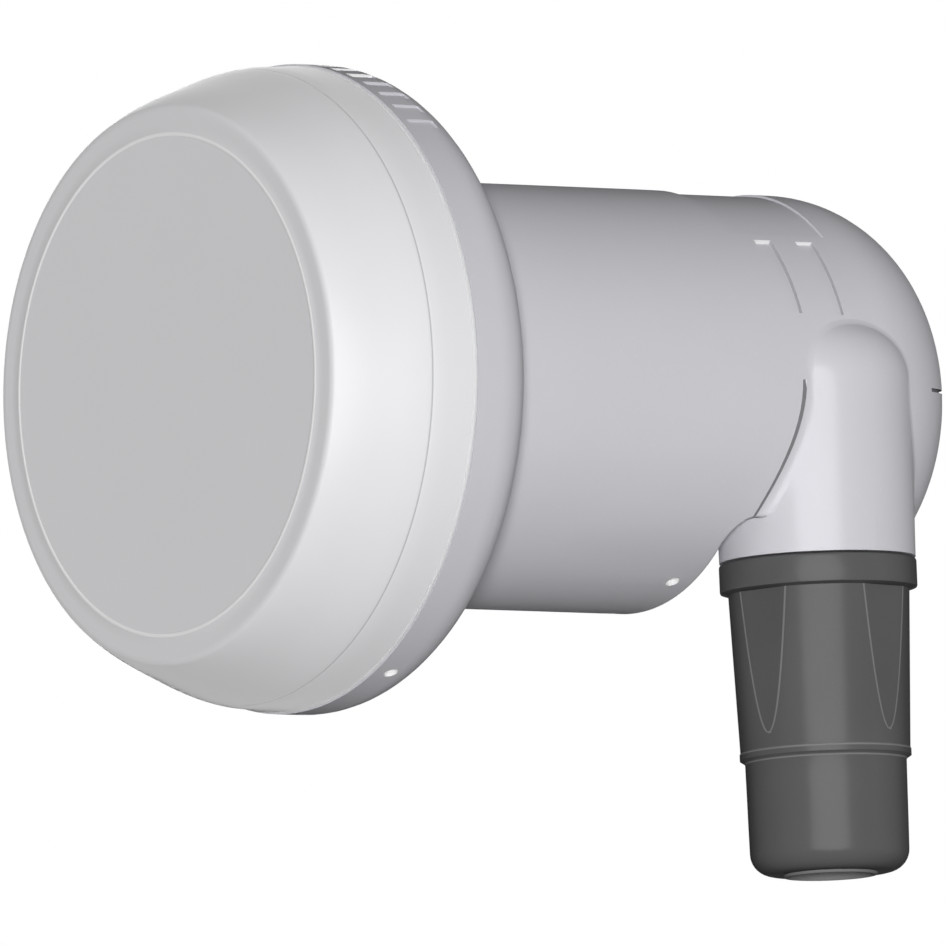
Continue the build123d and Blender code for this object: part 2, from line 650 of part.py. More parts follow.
# Shield cover: pocket over the parts and a closed cup behind the wave guide
with BuildPart() as shield_cover:
    t_lid = T_TOP + COVER_POCKET
    with BuildSketch(AXIAL):
        with BuildLine():
            Polyline(
                (at(T_TOP), GUIDE_R),
                (at(T_TOP), CUP_R),
                (at(t_lid), CUP_R),
                (at(t_lid), COVER_R - COVER_WALL),
                (at(T_TOP), COVER_R - COVER_WALL),
                (at(T_TOP), COVER_R),
                (at(t_lid + COVER_WALL), COVER_R),
                (at(t_lid + COVER_WALL), CUP_R),
                (at(T_TOP + CUP_DEPTH + COVER_WALL), CUP_R),
                (at(T_TOP + CUP_DEPTH + COVER_WALL), 0),
                (at(T_TOP + CUP_DEPTH), 0),
                (at(T_TOP + CUP_DEPTH), GUIDE_R),
                close=True,
            )
        make_face()
    revolve(axis=Axis.Y)
    with BuildSketch(across(t_lid)):
        for angle in COVER_SCREW_ANGLES:
            with Locations((PART_R * cos(radians(angle)), PART_R * sin(radians(angle)))):
                Circle(POST_R)
    extrude(amount=COVER_POCKET)
    with BuildSketch(across(T_TOP)):
        with Locations((0, COVER_FLAT_Z)):
            Rectangle(REACH, REACH, align=(Align.CENTER, Align.MAX))
        with Locations((CUP_R, COVER_CORNER_Z)):
            Rectangle(REACH, REACH, align=(Align.MIN, Align.MAX))
    extrude(amount=-COVER_POCKET - COVER_WALL, mode=Mode.SUBTRACT)
    with BuildSketch(across(T_TOP)):
        for angle in COVER_SCREW_ANGLES:
            with Locations((PART_R * cos(radians(angle)), PART_R * sin(radians(angle)))):
                Circle(SCREW_R + HOLE_CLEARANCE)
        with Locations((-GUIDE_R + 1, 0)):
            Rectangle(CUP_R - GUIDE_R + 2, PROBE_W + 0.6, align=(Align.MAX, Align.CENTER))
        with Locations((0, GUIDE_R - 1)):
            Rectangle(PROBE_W + 0.6, CUP_R - GUIDE_R + 2, align=(Align.CENTER, Align.MIN))
    extrude(amount=-COPPER - 0.3, mode=Mode.SUBTRACT)
    with BuildSketch(across(T_TOP)):
        for angle in COVER_SCREW_ANGLES:
            with Locations((PART_R * cos(radians(angle)), PART_R * sin(radians(angle)))):
                Circle(SCREW_R + HOLE_CLEARANCE)
    extrude(amount=-COVER_POCKET - COVER_WALL, mode=Mode.SUBTRACT)

shield_cover.part.label = "shield_cover"
export_step(shield_cover.part, "parts/shield_cover.step")

# Screws through the cover and the board into the casting
with BuildPart() as cover_screws:
    t_head = T_TOP + COVER_POCKET + COVER_WALL
    with BuildSketch(across(t_head)):
        for angle in COVER_SCREW_ANGLES:
            with Locations((PART_R * cos(radians(angle)), PART_R * sin(radians(angle)))):
                Circle(SCREW_HEAD_R)
    extrude(amount=-SCREW_HEAD)
    with BuildSketch(across(t_head)):
        for angle in COVER_SCREW_ANGLES:
            with Locations((PART_R * cos(radians(angle)), PART_R * sin(radians(angle)))):
                Circle(SCREW_R)
    extrude(amount=t_head - T_BOARD + SCREW_BITE)
    with BuildSketch(across(t_head + SCREW_HEAD - SCREW_SLOT)):
        for angle in COVER_SCREW_ANGLES:
            with Locations((PART_R * cos(radians(angle)), PART_R * sin(radians(angle)))):
                Rectangle(2 * SCREW_HEAD_R + 1, SCREW_SLOT_W)
    extrude(amount=-SCREW_SLOT - 1, mode=Mode.SUBTRACT)

cover_screws.part.label = "cover_screws"
export_step(cover_screws.part, "parts/cover_screws.step")

# Threaded connector barrel, pressed into the lug of the casting
with BuildPart() as connector_barrel:
    with BuildSketch(boss_level(-BARREL_OUT)):
        Circle(THREAD_R)
        Circle(BARREL_BORE_R, mode=Mode.SUBTRACT)
    extrude(amount=BARREL_OUT + THREAD_TOP)
    with BuildSketch(boss_level(THREAD_TOP)):
        Circle(BARREL_R)
        Circle(BARREL_BORE_R, mode=Mode.SUBTRACT)
    extrude(amount=BARREL_IN - THREAD_TOP)

connector_barrel.part.label = "connector_barrel"
export_step(connector_barrel.part, "parts/connector_barrel.step")

with BuildPart() as connector_insulator:
    with BuildSketch(boss_level(-BARREL_OUT + 0.5)):
        Circle(BARREL_BORE_R - INSULATOR_CLEARANCE)
        Circle(CONTACT_R + INSULATOR_CLEARANCE, mode=Mode.SUBTRACT)
    extrude(amount=BARREL_OUT + BARREL_IN - 0.5)

connector_insulator.part.label = "connector_insulator"
export_step(connector_insulator.part, "parts/connector_insulator.step")

with BuildPart() as centre_contact:
    with BuildSketch(boss_level(-BARREL_OUT + 1)):
        Circle(CONTACT_R)
    extrude(amount=BARREL_OUT - 1 + CONTACT_IN)
    with BuildSketch(boss_level(-BARREL_OUT + 1)):
        Circle(CONTACT_BORE_R)
    extrude(amount=12, mode=Mode.SUBTRACT)

centre_contact.part.label = "centre_contact"
export_step(centre_contact.part, "parts/centre_contact.step")

# Rubber ring between the boss floor and the lug
with BuildPart() as connector_seal:
    with BuildSketch(BOSS_PROFILE):
        with Locations((BARREL_R + SEAL_MINOR_R + 0.02, (BOSS_FLOOR + LUG_START) / 2)):
            Circle(SEAL_MINOR_R)
    revolve(axis=BOSS_AXIS)

connector_seal.part.label = "connector_seal"
export_step(connector_seal.part, "parts/connector_seal.step")

# Lead from the centre contact to the board
with BuildPart() as output_lead:
    lead_foot = BOSS_FOOT + UP * CONTACT_IN
    lead_top = lead_foot + UP * 3.0
    with BuildLine() as lead_path:
        FilletPolyline(
            lead_foot,
            lead_top,
            (lead_top.X, at(T_TOP), lead_top.Z),
            radius=1.2,
        )
    with BuildSketch(Plane(origin=lead_foot, z_dir=UP)):
        Circle(0.4)
    sweep(path=lead_path.line)

output_lead.part.label = "output_lead"
export_step(output_lead.part, "parts/output_lead.step")

# Weather boot: a soft sleeve pushed over the nose, with four finger flats
with BuildPart() as weather_boot:
    with BuildSketch(BOSS_PROFILE) as boot_section:
        with BuildLine():
            bore_r = NOSE_R + BOOT_CLEARANCE
            w0 = Line((bore_r, -BOOT_GAP), (BOOT_COLLAR_R - 0.3, -BOOT_GAP))
            w1 = Line(w0 @ 1, (BOOT_COLLAR_R, -BOOT_GAP - 0.3))
            w2 = Line(w1 @ 1, (BOOT_COLLAR_R, -BOOT_COLLAR))
            w3 = Line(w2 @ 1, (BOOT_TOP_R, -BOOT_COLLAR - BOOT_CHAMFER))
            w4 = Line(w3 @ 1, (BOOT_LOW_R, -BOOT_STEP))
            w5 = Polyline(
                w4 @ 1,
                (BOOT_LOW_R + BOOT_BEAD, -BOOT_STEP - BOOT_BEAD),
                (BOOT_LOW_R + BOOT_BEAD, -BOOT_STEP - BOOT_BEAD_W),
            )
            w6 = Line(w5 @ 1, (BOOT_TAIL_R, -BOOT_STEP - BOOT_STEP_W))
            w7 = Line(w6 @ 1, (BOOT_TAIL_LOW_R, -BOOT_LENGTH + BOOT_BOTTOM_R))
            w8 = RadiusArc(
                w7 @ 1,
                (BOOT_TAIL_LOW_R - BOOT_BOTTOM_R, -BOOT_LENGTH),
                BOOT_BOTTOM_R,
            )
            w9 = Line(w8 @ 1, (BOOT_LIP_R, -BOOT_LENGTH))
            w10 = Line(w9 @ 1, (BOOT_LIP_R, -BOOT_LENGTH - BOOT_LIP))
            w11 = Line(w10 @ 1, (CABLE_HOLE_R, -BOOT_LENGTH - BOOT_LIP))
            w12 = Line(w11 @ 1, (CABLE_HOLE_R, -BOOT_LENGTH + BOOT_FLOOR))
            w13 = Line(w12 @ 1, (BOOT_CAVITY_R - 1.5, -BOOT_LENGTH + BOOT_FLOOR))
            w14 = Line(w13 @ 1, (BOOT_CAVITY_R, -BOOT_LENGTH + BOOT_FLOOR + 1.5))
            w15 = Line(w14 @ 1, (BOOT_CAVITY_R, -NOSE_LENGTH - 0.4))
            w16 = Line(w15 @ 1, (bore_r, -NOSE_LENGTH - 0.4))
            Line(w16 @ 1, w0 @ 0)
        make_face()
    revolve(axis=BOSS_AXIS)
    with BuildSketch(boss_level(-BOOT_COLLAR - BOOT_CHAMFER)):
        with PolarLocations(BOOT_FLAT, 4, start_angle=BOOT_FLAT_ANGLE):
            Rectangle(2, 14, align=(Align.MIN, Align.CENTER))
    extrude(amount=-(BOOT_STEP - BOOT_COLLAR - BOOT_CHAMFER), mode=Mode.SUBTRACT)

weather_boot.part.label = "weather_boot"
export_step(weather_boot.part, "parts/weather_boot.step")
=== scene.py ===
import math

import bpy
import numpy as np
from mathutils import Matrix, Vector


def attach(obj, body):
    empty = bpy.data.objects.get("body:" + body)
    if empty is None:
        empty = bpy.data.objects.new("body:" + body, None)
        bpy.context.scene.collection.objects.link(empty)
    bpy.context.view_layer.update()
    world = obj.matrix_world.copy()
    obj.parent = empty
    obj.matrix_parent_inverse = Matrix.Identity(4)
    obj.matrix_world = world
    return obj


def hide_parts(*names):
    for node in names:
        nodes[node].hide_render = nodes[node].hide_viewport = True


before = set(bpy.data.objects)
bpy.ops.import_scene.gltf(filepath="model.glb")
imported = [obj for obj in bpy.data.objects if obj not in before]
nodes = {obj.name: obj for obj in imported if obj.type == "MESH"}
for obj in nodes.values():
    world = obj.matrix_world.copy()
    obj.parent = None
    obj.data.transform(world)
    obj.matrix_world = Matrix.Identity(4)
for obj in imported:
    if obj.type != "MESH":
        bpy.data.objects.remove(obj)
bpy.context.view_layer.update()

# Lengths below are in millimetres, as in the part's source. T_ values are distances behind
# the flat front face of the cap, along the neck axis.
MM = 0.001
TURN = 256
T_ORIGIN = 37.75

# Feed cap
T_CAP_END = 13.45
CAP_FACE_R = 26.0
CAP_EDGE_R = 0.5
CAP_EDGE = 0.3
T_CAP_LOW, CAP_LOW_R = 4.8, 28.35
T_CAP_HIGH, CAP_HIGH_R = 8.0, 29.5
T_CAP_SKIRT, CAP_SKIRT_R = 10.4, 30.03
T_CAP_INSIDE, CAP_INSIDE_R = 5.33, 26.9
CAP_RIM_R = 30.2
CAP_RIM_ROUND = 0.08
CAP_WALL = 1.6
FACE_LINE_R = 23.43
FACE_LINE_W = 0.16
FACE_LINE_H = 0.03
T_SEAM_LINE = 8.95
SEAM_LINE_W = 0.07
SEAM_LINE_D = 0.02

# Seal bead between the cap and the flange
T_FLANGE = 13.75
SEAL_IN_R = 28.5
SEAL_BULGE = 0.06

# Housing, where its grooves are
NECK_R = 20.0
GROOVE_REACH = 0.6
CREASE_X = 10.0
CREASE_Y = 23.7
CREASE_LOW_Z = -12.2
CREASE_HIGH_Z = 1.4
BOSS_OUT_R = 9.6
STEP_Z = -11.45
STEP_T0 = 53.5
STEP_T1 = 57.4
T_DOME = 69.2
DOME_R = 13.3
DOME_FLAT_R = 6.6
PARTING_Z = 1.05
T_PARTING = 76.0
LABEL_ANGLE = 39.5
RECESS_T0 = 56.0
RECESS_T1 = 67.6
RECESS_Z = 5.0
FLANGE_R = 30.42
POCKET_Z = 28.9
DRAIN_R = 0.72
T_FLANGE_DRAIN = 15.7
FLANGE_DRAIN_ANGLE = 27.5
T_NECK_DRAIN = 51.6
NECK_DRAIN_ANGLE = 29.7

# Weather boot and connector, along the leaning boss axis
TILT = math.radians(3.95)
BOSS_FOOT = Vector((13.4, 66.0 - T_ORIGIN, -15.1))
BOOT_GAP = 0.15
BOOT_BORE_R = 7.2
BOOT_COLLAR_R = 9.3
BOOT_COLLAR = 2.85
BOOT_CHAMFER = 0.2
BOOT_ROUND = 0.3
BOOT_TOP_R = 8.53
BOOT_LOW_R = 8.0
BOOT_STEP = 18.0
BOOT_BEAD = 0.08
BOOT_BEAD_W = 0.7
BOOT_STEP_W = 1.05
BOOT_TAIL_R = 7.6
BOOT_TAIL_LOW_R = 7.5
BOOT_LENGTH = 29.6
BOOT_BOTTOM_R = 2.1
BOOT_CAVITY_R = 6.5
BOOT_CAVITY_CHAMFER = 1.5
BOOT_FLOOR = 2.6
BOOT_FLAT = 8.05
BOOT_FLAT_ANGLE = math.radians(12.0)
BOOT_LIP_R = 4.4
BOOT_LIP = 0.25
CABLE_HOLE_R = 4.0
NOSE_LENGTH = 5.4
FLAT_LINE_W = 0.2
FLAT_TIP = 0.1
FLAT_ROWS = 40
FLAT_STEPS = 8
ARC_STEPS = 40
THREAD_R = 4.76
THREAD_DEPTH = 0.49
THREAD_PITCH = 0.794
THREAD_TOP = -1.0
THREAD_FADE = 0.9
THREAD_LEAD = 0.15
THREAD_TURN = 60
PER_PITCH = 12
BARREL_R = 5.0
BARREL_OUT = 15.0
BARREL_IN = 7.0
BARREL_BORE_R = 3.3

UP = Vector((-math.sin(TILT), 0.0, math.cos(TILT)))
OUT = Vector((math.cos(TILT), 0.0, math.sin(TILT)))
SIDE = UP.cross(OUT)


# Placing: functions that turn turned coordinates into the part's frame, in metres
def on_neck(t, r, a):
    # t behind the front face, r from the neck axis, a from the top towards +X
    return Vector((r * math.sin(a), t - T_ORIGIN, r * math.cos(a))) * MM


def on_boss(s, r, a):
    # s above the boss foot along the leaning axis, a from OUT
    return (BOSS_FOOT + UP * s + OUT * (r * math.cos(a)) + SIDE * (r * math.sin(a))) * MM


def make_piece(name, verts, faces, marks, materials, body, slot, node, smooth_angle=30.0):
    mesh = bpy.data.meshes.new(name)
    mesh.from_pydata([tuple(v) for v in verts], [], faces)
    for m in materials:
        mesh.materials.append(m)
    for poly, mark in zip(mesh.polygons, marks):
        poly.material_index = mark
        poly.use_smooth = True
    mesh.validate()
    mesh.update()
    mesh.set_sharp_from_angle(angle=math.radians(smooth_angle))
    obj = bpy.data.objects.new(name, mesh)
    bpy.context.scene.collection.objects.link(obj)
    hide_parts(node)
    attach(obj, body)
    return obj


def turned(rings, place, closed, caps=False):
    # rings: one list of (along, radius, angle, mark) per profile point, all of one length
    verts, faces, marks = [], [], []
    count = len(rings[0])
    for ring in rings:
        verts += [place(p[0], p[1], p[2]) for p in ring]
    last = len(rings) if closed else len(rings) - 1
    for i in range(last):
        j = (i + 1) % len(rings)
        for k in range(count):
            n = (k + 1) % count
            faces.append((i * count + k, i * count + n, j * count + n, j * count + k))
            marks.append(rings[i][k][3])
    if caps:
        for i, flip in ((0, False), (len(rings) - 1, True)):
            hub = len(verts)
            verts.append(place(rings[i][0][0], 0.0, 0.0))
            for k in range(count):
                n = (k + 1) % count
                tri = (hub, i * count + k, i * count + n)
                faces.append(tri if flip else tri[::-1])
                marks.append(rings[i][k][3])
    return verts, faces, marks


def spline(points, start, end, count):
    # smooth curve through points with end directions, by a clamped cubic on chord length
    pts = np.array(points, float)
    u = np.concatenate(([0.0], np.cumsum(np.linalg.norm(np.diff(pts, axis=0), axis=1))))
    h = np.diff(u)
    n = len(pts)
    d0 = np.array(start) / np.linalg.norm(start)
    d1 = np.array(end) / np.linalg.norm(end)
    a = np.zeros((n, n))
    b = np.zeros((n, 2))
    a[0, 0] = a[-1, -1] = 1.0
    b[0], b[-1] = d0, d1
    for i in range(1, n - 1):
        a[i, i - 1 : i + 2] = h[i], 2 * (h[i - 1] + h[i]), h[i - 1]
        back, ahead = (pts[i] - pts[i - 1]) / h[i - 1], (pts[i + 1] - pts[i]) / h[i]
        b[i] = 3 * (h[i] * back + h[i - 1] * ahead)
    m = np.linalg.solve(a, b)
    out = []
    for i in range(n - 1):
        for k in range(count):
            x = k / count
            out.append(
                (2 * x**3 - 3 * x**2 + 1) * pts[i]
                + (x**3 - 2 * x**2 + x) * h[i] * m[i]
                + (3 * x**2 - 2 * x**3) * pts[i + 1]
                + (x**3 - x**2) * h[i] * m[i + 1]
            )
    out.append(pts[-1])
    return [tuple(p) for p in out]


# Materials
def material(name, base, rough, spec=0.0, metallic=0.0, mottle=0.03, mottle_size=9.0,
             grain=0.3, grain_depth=0.006, rough_swing=0.06, soften=0.0, sheen=0.0, edge=1.0):
    # One principled material: slow tone drift, fine moulded grain, uneven gloss.
    # Sizes of the detail are in millimetres.
    mat = bpy.data.materials.new(name)
    mat.use_nodes = True
    nt = mat.node_tree
    bsdf = nt.nodes["Principled BSDF"]
    bsdf.inputs["Metallic"].default_value = metallic
    bsdf.inputs["Specular IOR Level"].default_value = spec
    bsdf.inputs["Specular Tint"].default_value = (edge, edge, edge, 1)
    bsdf.inputs["Sheen Weight"].default_value = sheen
    bsdf.inputs["Sheen Roughness"].default_value = 0.5
    where = nt.nodes.new("ShaderNodeTexCoord")

    drift = nt.nodes.new("ShaderNodeTexNoise")
    drift.inputs["Scale"].default_value = 1.0 / (mottle_size * MM)
    drift.inputs["Detail"].default_value = 4.0
    nt.links.new(where.outputs["Object"], drift.inputs["Vector"])
    tone = nt.nodes.new("ShaderNodeValToRGB")
    tone.color_ramp.elements[0].position = 0.3
    tone.color_ramp.elements[1].position = 0.7
    tone.color_ramp.elements[0].color = [c * (1 - mottle) for c in base] + [1]
    tone.color_ramp.elements[1].color = [min(1.0, c * (1 + mottle)) for c in base] + [1]
    nt.links.new(drift.outputs["Fac"], tone.inputs["Fac"])
    nt.links.new(tone.outputs["Color"], bsdf.inputs["Base Color"])

    speck = nt.nodes.new("ShaderNodeTexNoise")
    speck.inputs["Scale"].default_value = 1.0 / (grain * MM)
    speck.inputs["Detail"].default_value = 3.0
    nt.links.new(where.outputs["Object"], speck.inputs["Vector"])
    gloss = nt.nodes.new("ShaderNodeMapRange")
    gloss.inputs["From Min"].default_value = 0.3
    gloss.inputs["From Max"].default_value = 0.7
    gloss.inputs["To Min"].default_value = max(0.02, rough - rough_swing)
    gloss.inputs["To Max"].default_value = min(1.0, rough + rough_swing)
    nt.links.new(speck.outputs["Fac"], gloss.inputs["Value"])
    nt.links.new(gloss.outputs["Result"], bsdf.inputs["Roughness"])

    bump = nt.nodes.new("ShaderNodeBump")
    bump.inputs["Strength"].default_value = 0.6
    bump.inputs["Distance"].default_value = grain_depth * MM
    nt.links.new(speck.outputs["Fac"], bump.inputs["Height"])
    if soften:
        round_edge = nt.nodes.new("ShaderNodeBevel")
        round_edge.samples = 6
        round_edge.inputs["Radius"].default_value = soften * MM
        nt.links.new(round_edge.outputs["Normal"], bump.inputs["Normal"])
    nt.links.new(bump.outputs["Normal"], bsdf.inputs["Normal"])
    return mat


cap_white = material("cap_plastic", (0.815, 0.813, 0.831), 0.40, metallic=0.031, mottle=0.006,
                     sheen=0.7)
# painted highlight: near-white colour on the raised line round the cap's face
cap_line_highlight = material("cap_line_highlight", (0.99, 0.99, 0.99), 0.5, metallic=0.02, mottle=0.01)
# painted shade: a darker copy of the cap plastic for the shallow mould-line groove
cap_groove_painted_shade = material("cap_groove_painted_shade", (0.54, 0.54, 0.555), 0.6, metallic=0.02, mottle=0.01,
                      sheen=0.9)
housing_grey = material("housing_plastic", (0.62, 0.616, 0.65), 0.22, metallic=0.033, mottle=0.006,
                        edge=0.0)
# painted shade: a dark copy of the housing plastic for its narrow grooves
housing_painted_shade = material("housing_painted_shade", (0.20, 0.20, 0.21), 0.6, metallic=0.02, mottle=0.02,
                         edge=0.0)
# painted shade: a mid-dark copy of the housing plastic for the step's rounded edge and the slots'
# front walls
housing_painted_edge_shade = material("housing_painted_edge_shade", (0.42, 0.42, 0.44), 0.6, metallic=0.02, mottle=0.02, edge=0.0)
# painted light: a pale copy of the housing plastic for the walls of slots, scale pockets and drain
# holes
housing_painted_light = material("housing_painted_light", (0.88, 0.88, 0.88), 0.5, metallic=0.03, mottle=0.01)
seal_white = material("seal_white", (0.74, 0.74, 0.75), 0.5, metallic=0.02, mottle=0.01, sheen=1.0)
seal_black = material("seal_black", (0.03, 0.03, 0.03), 0.6, spec=0.3, grain=0.2)
boot_rubber = material("boot_rubber", (0.107, 0.107, 0.109), 0.22, metallic=0.105, mottle=0.03,
                       grain=0.22, grain_depth=0.008, edge=0.0)
# painted highlight and painted light: a paler grey for the boot's edge lines, its lip and its cable
# hole's wall
boot_line_painted_light = material("boot_line_painted_light", (0.20, 0.20, 0.20), 0.6, metallic=0.05, mottle=0.03, edge=0.0)
zinc = material("zinc_casting", (0.58, 0.58, 0.57), 0.42, spec=0.5, metallic=1.0, mottle=0.08,
                mottle_size=3.0, grain=0.35, grain_depth=0.02, rough_swing=0.12, soften=0.1)
steel = material("screw_steel", (0.55, 0.55, 0.56), 0.3, spec=0.5, metallic=1.0, mottle=0.05,
                 soften=0.06)
laminate = material("board_laminate", (0.05, 0.20, 0.10), 0.35, spec=0.5,
                    mottle=0.12, mottle_size=0.8,
                    grain=0.4, grain_depth=0.01)
copper = material("copper", (0.72, 0.42, 0.26), 0.3, spec=0.5, metallic=1.0,
                  mottle=0.08, mottle_size=1.0)
chip = material("chip_black", (0.03, 0.03, 0.032), 0.5, spec=0.4,
                mottle=0.15, mottle_size=0.5, grain=0.1)
can = material("crystal_can", (0.62, 0.62, 0.60), 0.25, spec=0.5, metallic=1.0,
               mottle=0.05, mottle_size=0.6)
ceramic = material("ceramic", (0.45, 0.36, 0.26), 0.45, spec=0.4,
                   mottle=0.12, mottle_size=0.3, grain=0.1)
nickel = material("nickel_brass", (0.66, 0.65, 0.62), 0.24, spec=0.5, metallic=1.0,
                  mottle=0.04, mottle_size=2.0)
insulator = material("insulator_white", (0.85, 0.85, 0.83), 0.4, spec=0.4,
                     mottle=0.03, mottle_size=2.0)
gold = material("contact_gold", (0.80, 0.62, 0.28), 0.22, spec=0.5, metallic=1.0,
                mottle=0.05, mottle_size=1.0)

KEPT = {
    "flange_ring": housing_grey,
    "outer_housing": housing_grey,
    "horn_casting": zinc,
    "casting_screws": steel,
    "circuit_board": laminate,
    "horizontal_probe": copper,
    "vertical_probe": copper,
    "amplifier_transistors": chip,
    "mixer_chip": chip,
    "reference_crystal": can,
    "voltage_regulator": chip,
    "chip_capacitors": ceramic,
    "shield_cover": zinc,
    "cover_screws": steel,
    "connector_insulator": insulator,
    "centre_contact": gold,
    "connector_seal": seal_black,
    "output_lead": copper,
}
for node, mat in KEPT.items():
    slots = nodes[node].data.materials
    slots.clear()
    slots.append(mat)


# The narrow grooves of the housing carry painted shade, a darker copy of the same plastic;
# the step's rounded edge and the front walls of its slots a lesser painted shade; and the
# other slot walls, the scale pockets and the drain holes painted light, a paler copy. In the
# tests below p is the middle of a face in millimetres, n its normal, r how far it is from the
# neck axis and out how much it faces away from that axis.
PAINTED_SHADE, PAINTED_EDGE_SHADE, PAINTED_LIGHT = 1, 2, 3


def faces_of(obj):
    place = obj.matrix_world
    for poly in obj.data.polygons:
        p = place @ poly.center / MM
        n = (place.to_3x3() @ poly.normal).normalized()
        r = math.hypot(p.x, p.z)
        yield poly, p, n, r, (n.x * p.x + n.z * p.z) / r


def in_crease(p, n, r, out):
    # the groove that runs beside the boss, without the boss's own wall; its faces get painted shade
    arm = p - BOSS_FOOT
    away = arm - UP * arm.dot(UP)
    clear = away.length > BOSS_OUT_R and n.dot(away) > -0.5 * away.length
    near = clear and p.x > CREASE_X and p.y < CREASE_Y and CREASE_LOW_Z < p.z < CREASE_HIGH_Z
    return near and NECK_R - GROOVE_REACH < r < (NECK_R - 0.08 if out < 0.93 else NECK_R - 0.2)


def in_parting(p, n, r):
    # the groove across the rear dome; its faces get painted shade
    depth = DOME_R - math.hypot(p.y + T_ORIGIN - T_DOME, max(0.0, r - DOME_FLAT_R))
    near = abs(p.z - PARTING_Z) < 0.2 and p.y + T_ORIGIN > T_PARTING - 0.1
    return near and depth < GROOVE_REACH and (abs(n.z) > 0.9 or depth > 0.15)


def in_step(p, n, r):
    # the rounded edge of the step under the neck, turned down from the neck's own face; it gets
    # painted shade
    t = p.y + T_ORIGIN
    low = STEP_Z - 0.3 < p.z < STEP_Z + 0.3 and p.x > CREASE_X
    return low and STEP_T0 < t < STEP_T1 and r > NECK_R - 0.7 and n.z < -0.66


def in_drain(p, r, out, t0, angle):
    # the wall of a drain hole, by how far it is from the hole's axis; it gets painted light
    turn = math.radians(180 - angle) - abs(math.atan2(p.x, p.z))
    return math.hypot(p.y + T_ORIGIN - t0, r * turn) < DRAIN_R + 0.05 and abs(out) < 0.4


def in_slot(p, r, out):
    # the walls of the two slots, past the sides of the label recess; front-facing walls get painted
    # shade, the rest painted light
    near = RECESS_T0 < p.y + T_ORIGIN < RECESS_T1 and p.z > RECESS_Z and abs(out) < 0.5
    past = abs(math.degrees(math.atan2(abs(p.x), p.z))) > LABEL_ANGLE + 1
    return near and past and NECK_R - GROOVE_REACH < r < NECK_R - 0.04


def in_pocket(p, n, r, out):
    # the walls of the scale pockets near the top of the flange; they get painted light
    return p.z > POCKET_Z and FLANGE_R - 0.5 < r and abs(out) < 0.3 and abs(n.y) < 0.5


housing = nodes["outer_housing"].data
for extra in (housing_painted_shade, housing_painted_edge_shade, housing_painted_light):
    housing.materials.append(extra)
for poly, p, n, r, out in faces_of(nodes["outer_housing"]):
    if in_crease(p, n, r, out) or in_parting(p, n, r):
        poly.material_index = PAINTED_SHADE
    elif in_step(p, n, r):
        poly.material_index = PAINTED_EDGE_SHADE
    # slot walls that face the front get painted shade, the other slot walls painted light
    elif in_slot(p, r, out):
        poly.material_index = PAINTED_EDGE_SHADE if n.y < -0.7 else PAINTED_LIGHT
    elif in_drain(p, r, out, T_NECK_DRAIN, NECK_DRAIN_ANGLE):
        poly.material_index = PAINTED_LIGHT

# painted light on the walls of the flange's scale pockets and drain holes
nodes["flange_ring"].data.materials.append(housing_painted_light)
for poly, p, n, r, out in faces_of(nodes["flange_ring"]):
    if in_pocket(p, n, r, out) or in_drain(p, r, out, T_FLANGE_DRAIN, FLANGE_DRAIN_ANGLE):
        poly.material_index = 1

# Feed cap: white moulded dome with a raised line round its face, painted near white as a painted
# highlight, and a faint mould line, a shallow groove with painted shade
face = [(0.0, r, 0) for r in (4.0, 10.0, 16.0, 21.0, FACE_LINE_R - 2 * FACE_LINE_W)]
# the raised line's faces take the near-white painted highlight
bead = []
for k in range(9):
    x = -1 + k / 4
    bead.append((-FACE_LINE_H * math.sqrt(max(0.0, 1 - x * x)), FACE_LINE_R + x * FACE_LINE_W, 1))
edge = spline(
    [(0.0, CAP_FACE_R - CAP_EDGE_R), (CAP_EDGE, CAP_FACE_R + CAP_EDGE)], (0, 1), (1, 0.65), 8
)
flank = spline(
    [
        (CAP_EDGE, CAP_FACE_R + CAP_EDGE), (T_CAP_LOW, CAP_LOW_R), (T_CAP_HIGH, CAP_HIGH_R),
        (T_CAP_SKIRT, CAP_SKIRT_R),
    ],
    (1, 0.65), (1, 0.1), 14,
)
outer = [(t, r, 0) for t, r in edge[:-1] + flank if abs(t - T_SEAM_LINE) > 2 * SEAM_LINE_W]
before = [p for p in outer if p[0] < T_SEAM_LINE]
after = [p for p in outer if p[0] > T_SEAM_LINE]
(t0, r0, _), (t1, r1, _) = before[-1], after[0]


def flank_r(t):
    return r0 + (r1 - r0) * (t - t0) / (t1 - t0)


# the groove's faces take the painted shade
groove = [
    (T_SEAM_LINE - SEAM_LINE_W, flank_r(T_SEAM_LINE - SEAM_LINE_W), 2),
    (T_SEAM_LINE, flank_r(T_SEAM_LINE) - SEAM_LINE_D, 2),
    (T_SEAM_LINE + SEAM_LINE_W, flank_r(T_SEAM_LINE + SEAM_LINE_W), 0),
]
skirt = [
    (T_CAP_END - CAP_RIM_ROUND, CAP_RIM_R, 0),
    (T_CAP_END, CAP_RIM_R - CAP_RIM_ROUND, 0),
    (T_CAP_END, CAP_RIM_R - CAP_WALL, 0),
]
inside = spline(
    [
        (T_CAP_SKIRT, CAP_SKIRT_R - CAP_WALL), (T_CAP_INSIDE, CAP_INSIDE_R),
        (CAP_WALL, CAP_FACE_R - 1.2),
    ],
    (-1, -0.12), (-1, -0.7), 8,
)
inner = [(t, r, 0) for t, r in inside] + [(CAP_WALL, 12.0, 0)]
bead[-1] = bead[-1][:2] + (0,)
profile = face + bead + [(0.0, 24.6, 0)] + before + groove + after + skirt + inner
rings = [[(t, r, 2 * math.pi * k / TURN, mark) for k in range(TURN)] for t, r, mark in profile]
make_piece(
    "feed_cap_shell", *turned(rings, on_neck, False, caps=True),
    [cap_white, cap_line_highlight, cap_groove_painted_shade], "lnb_body", "cap_plastic", "feed_cap",
)

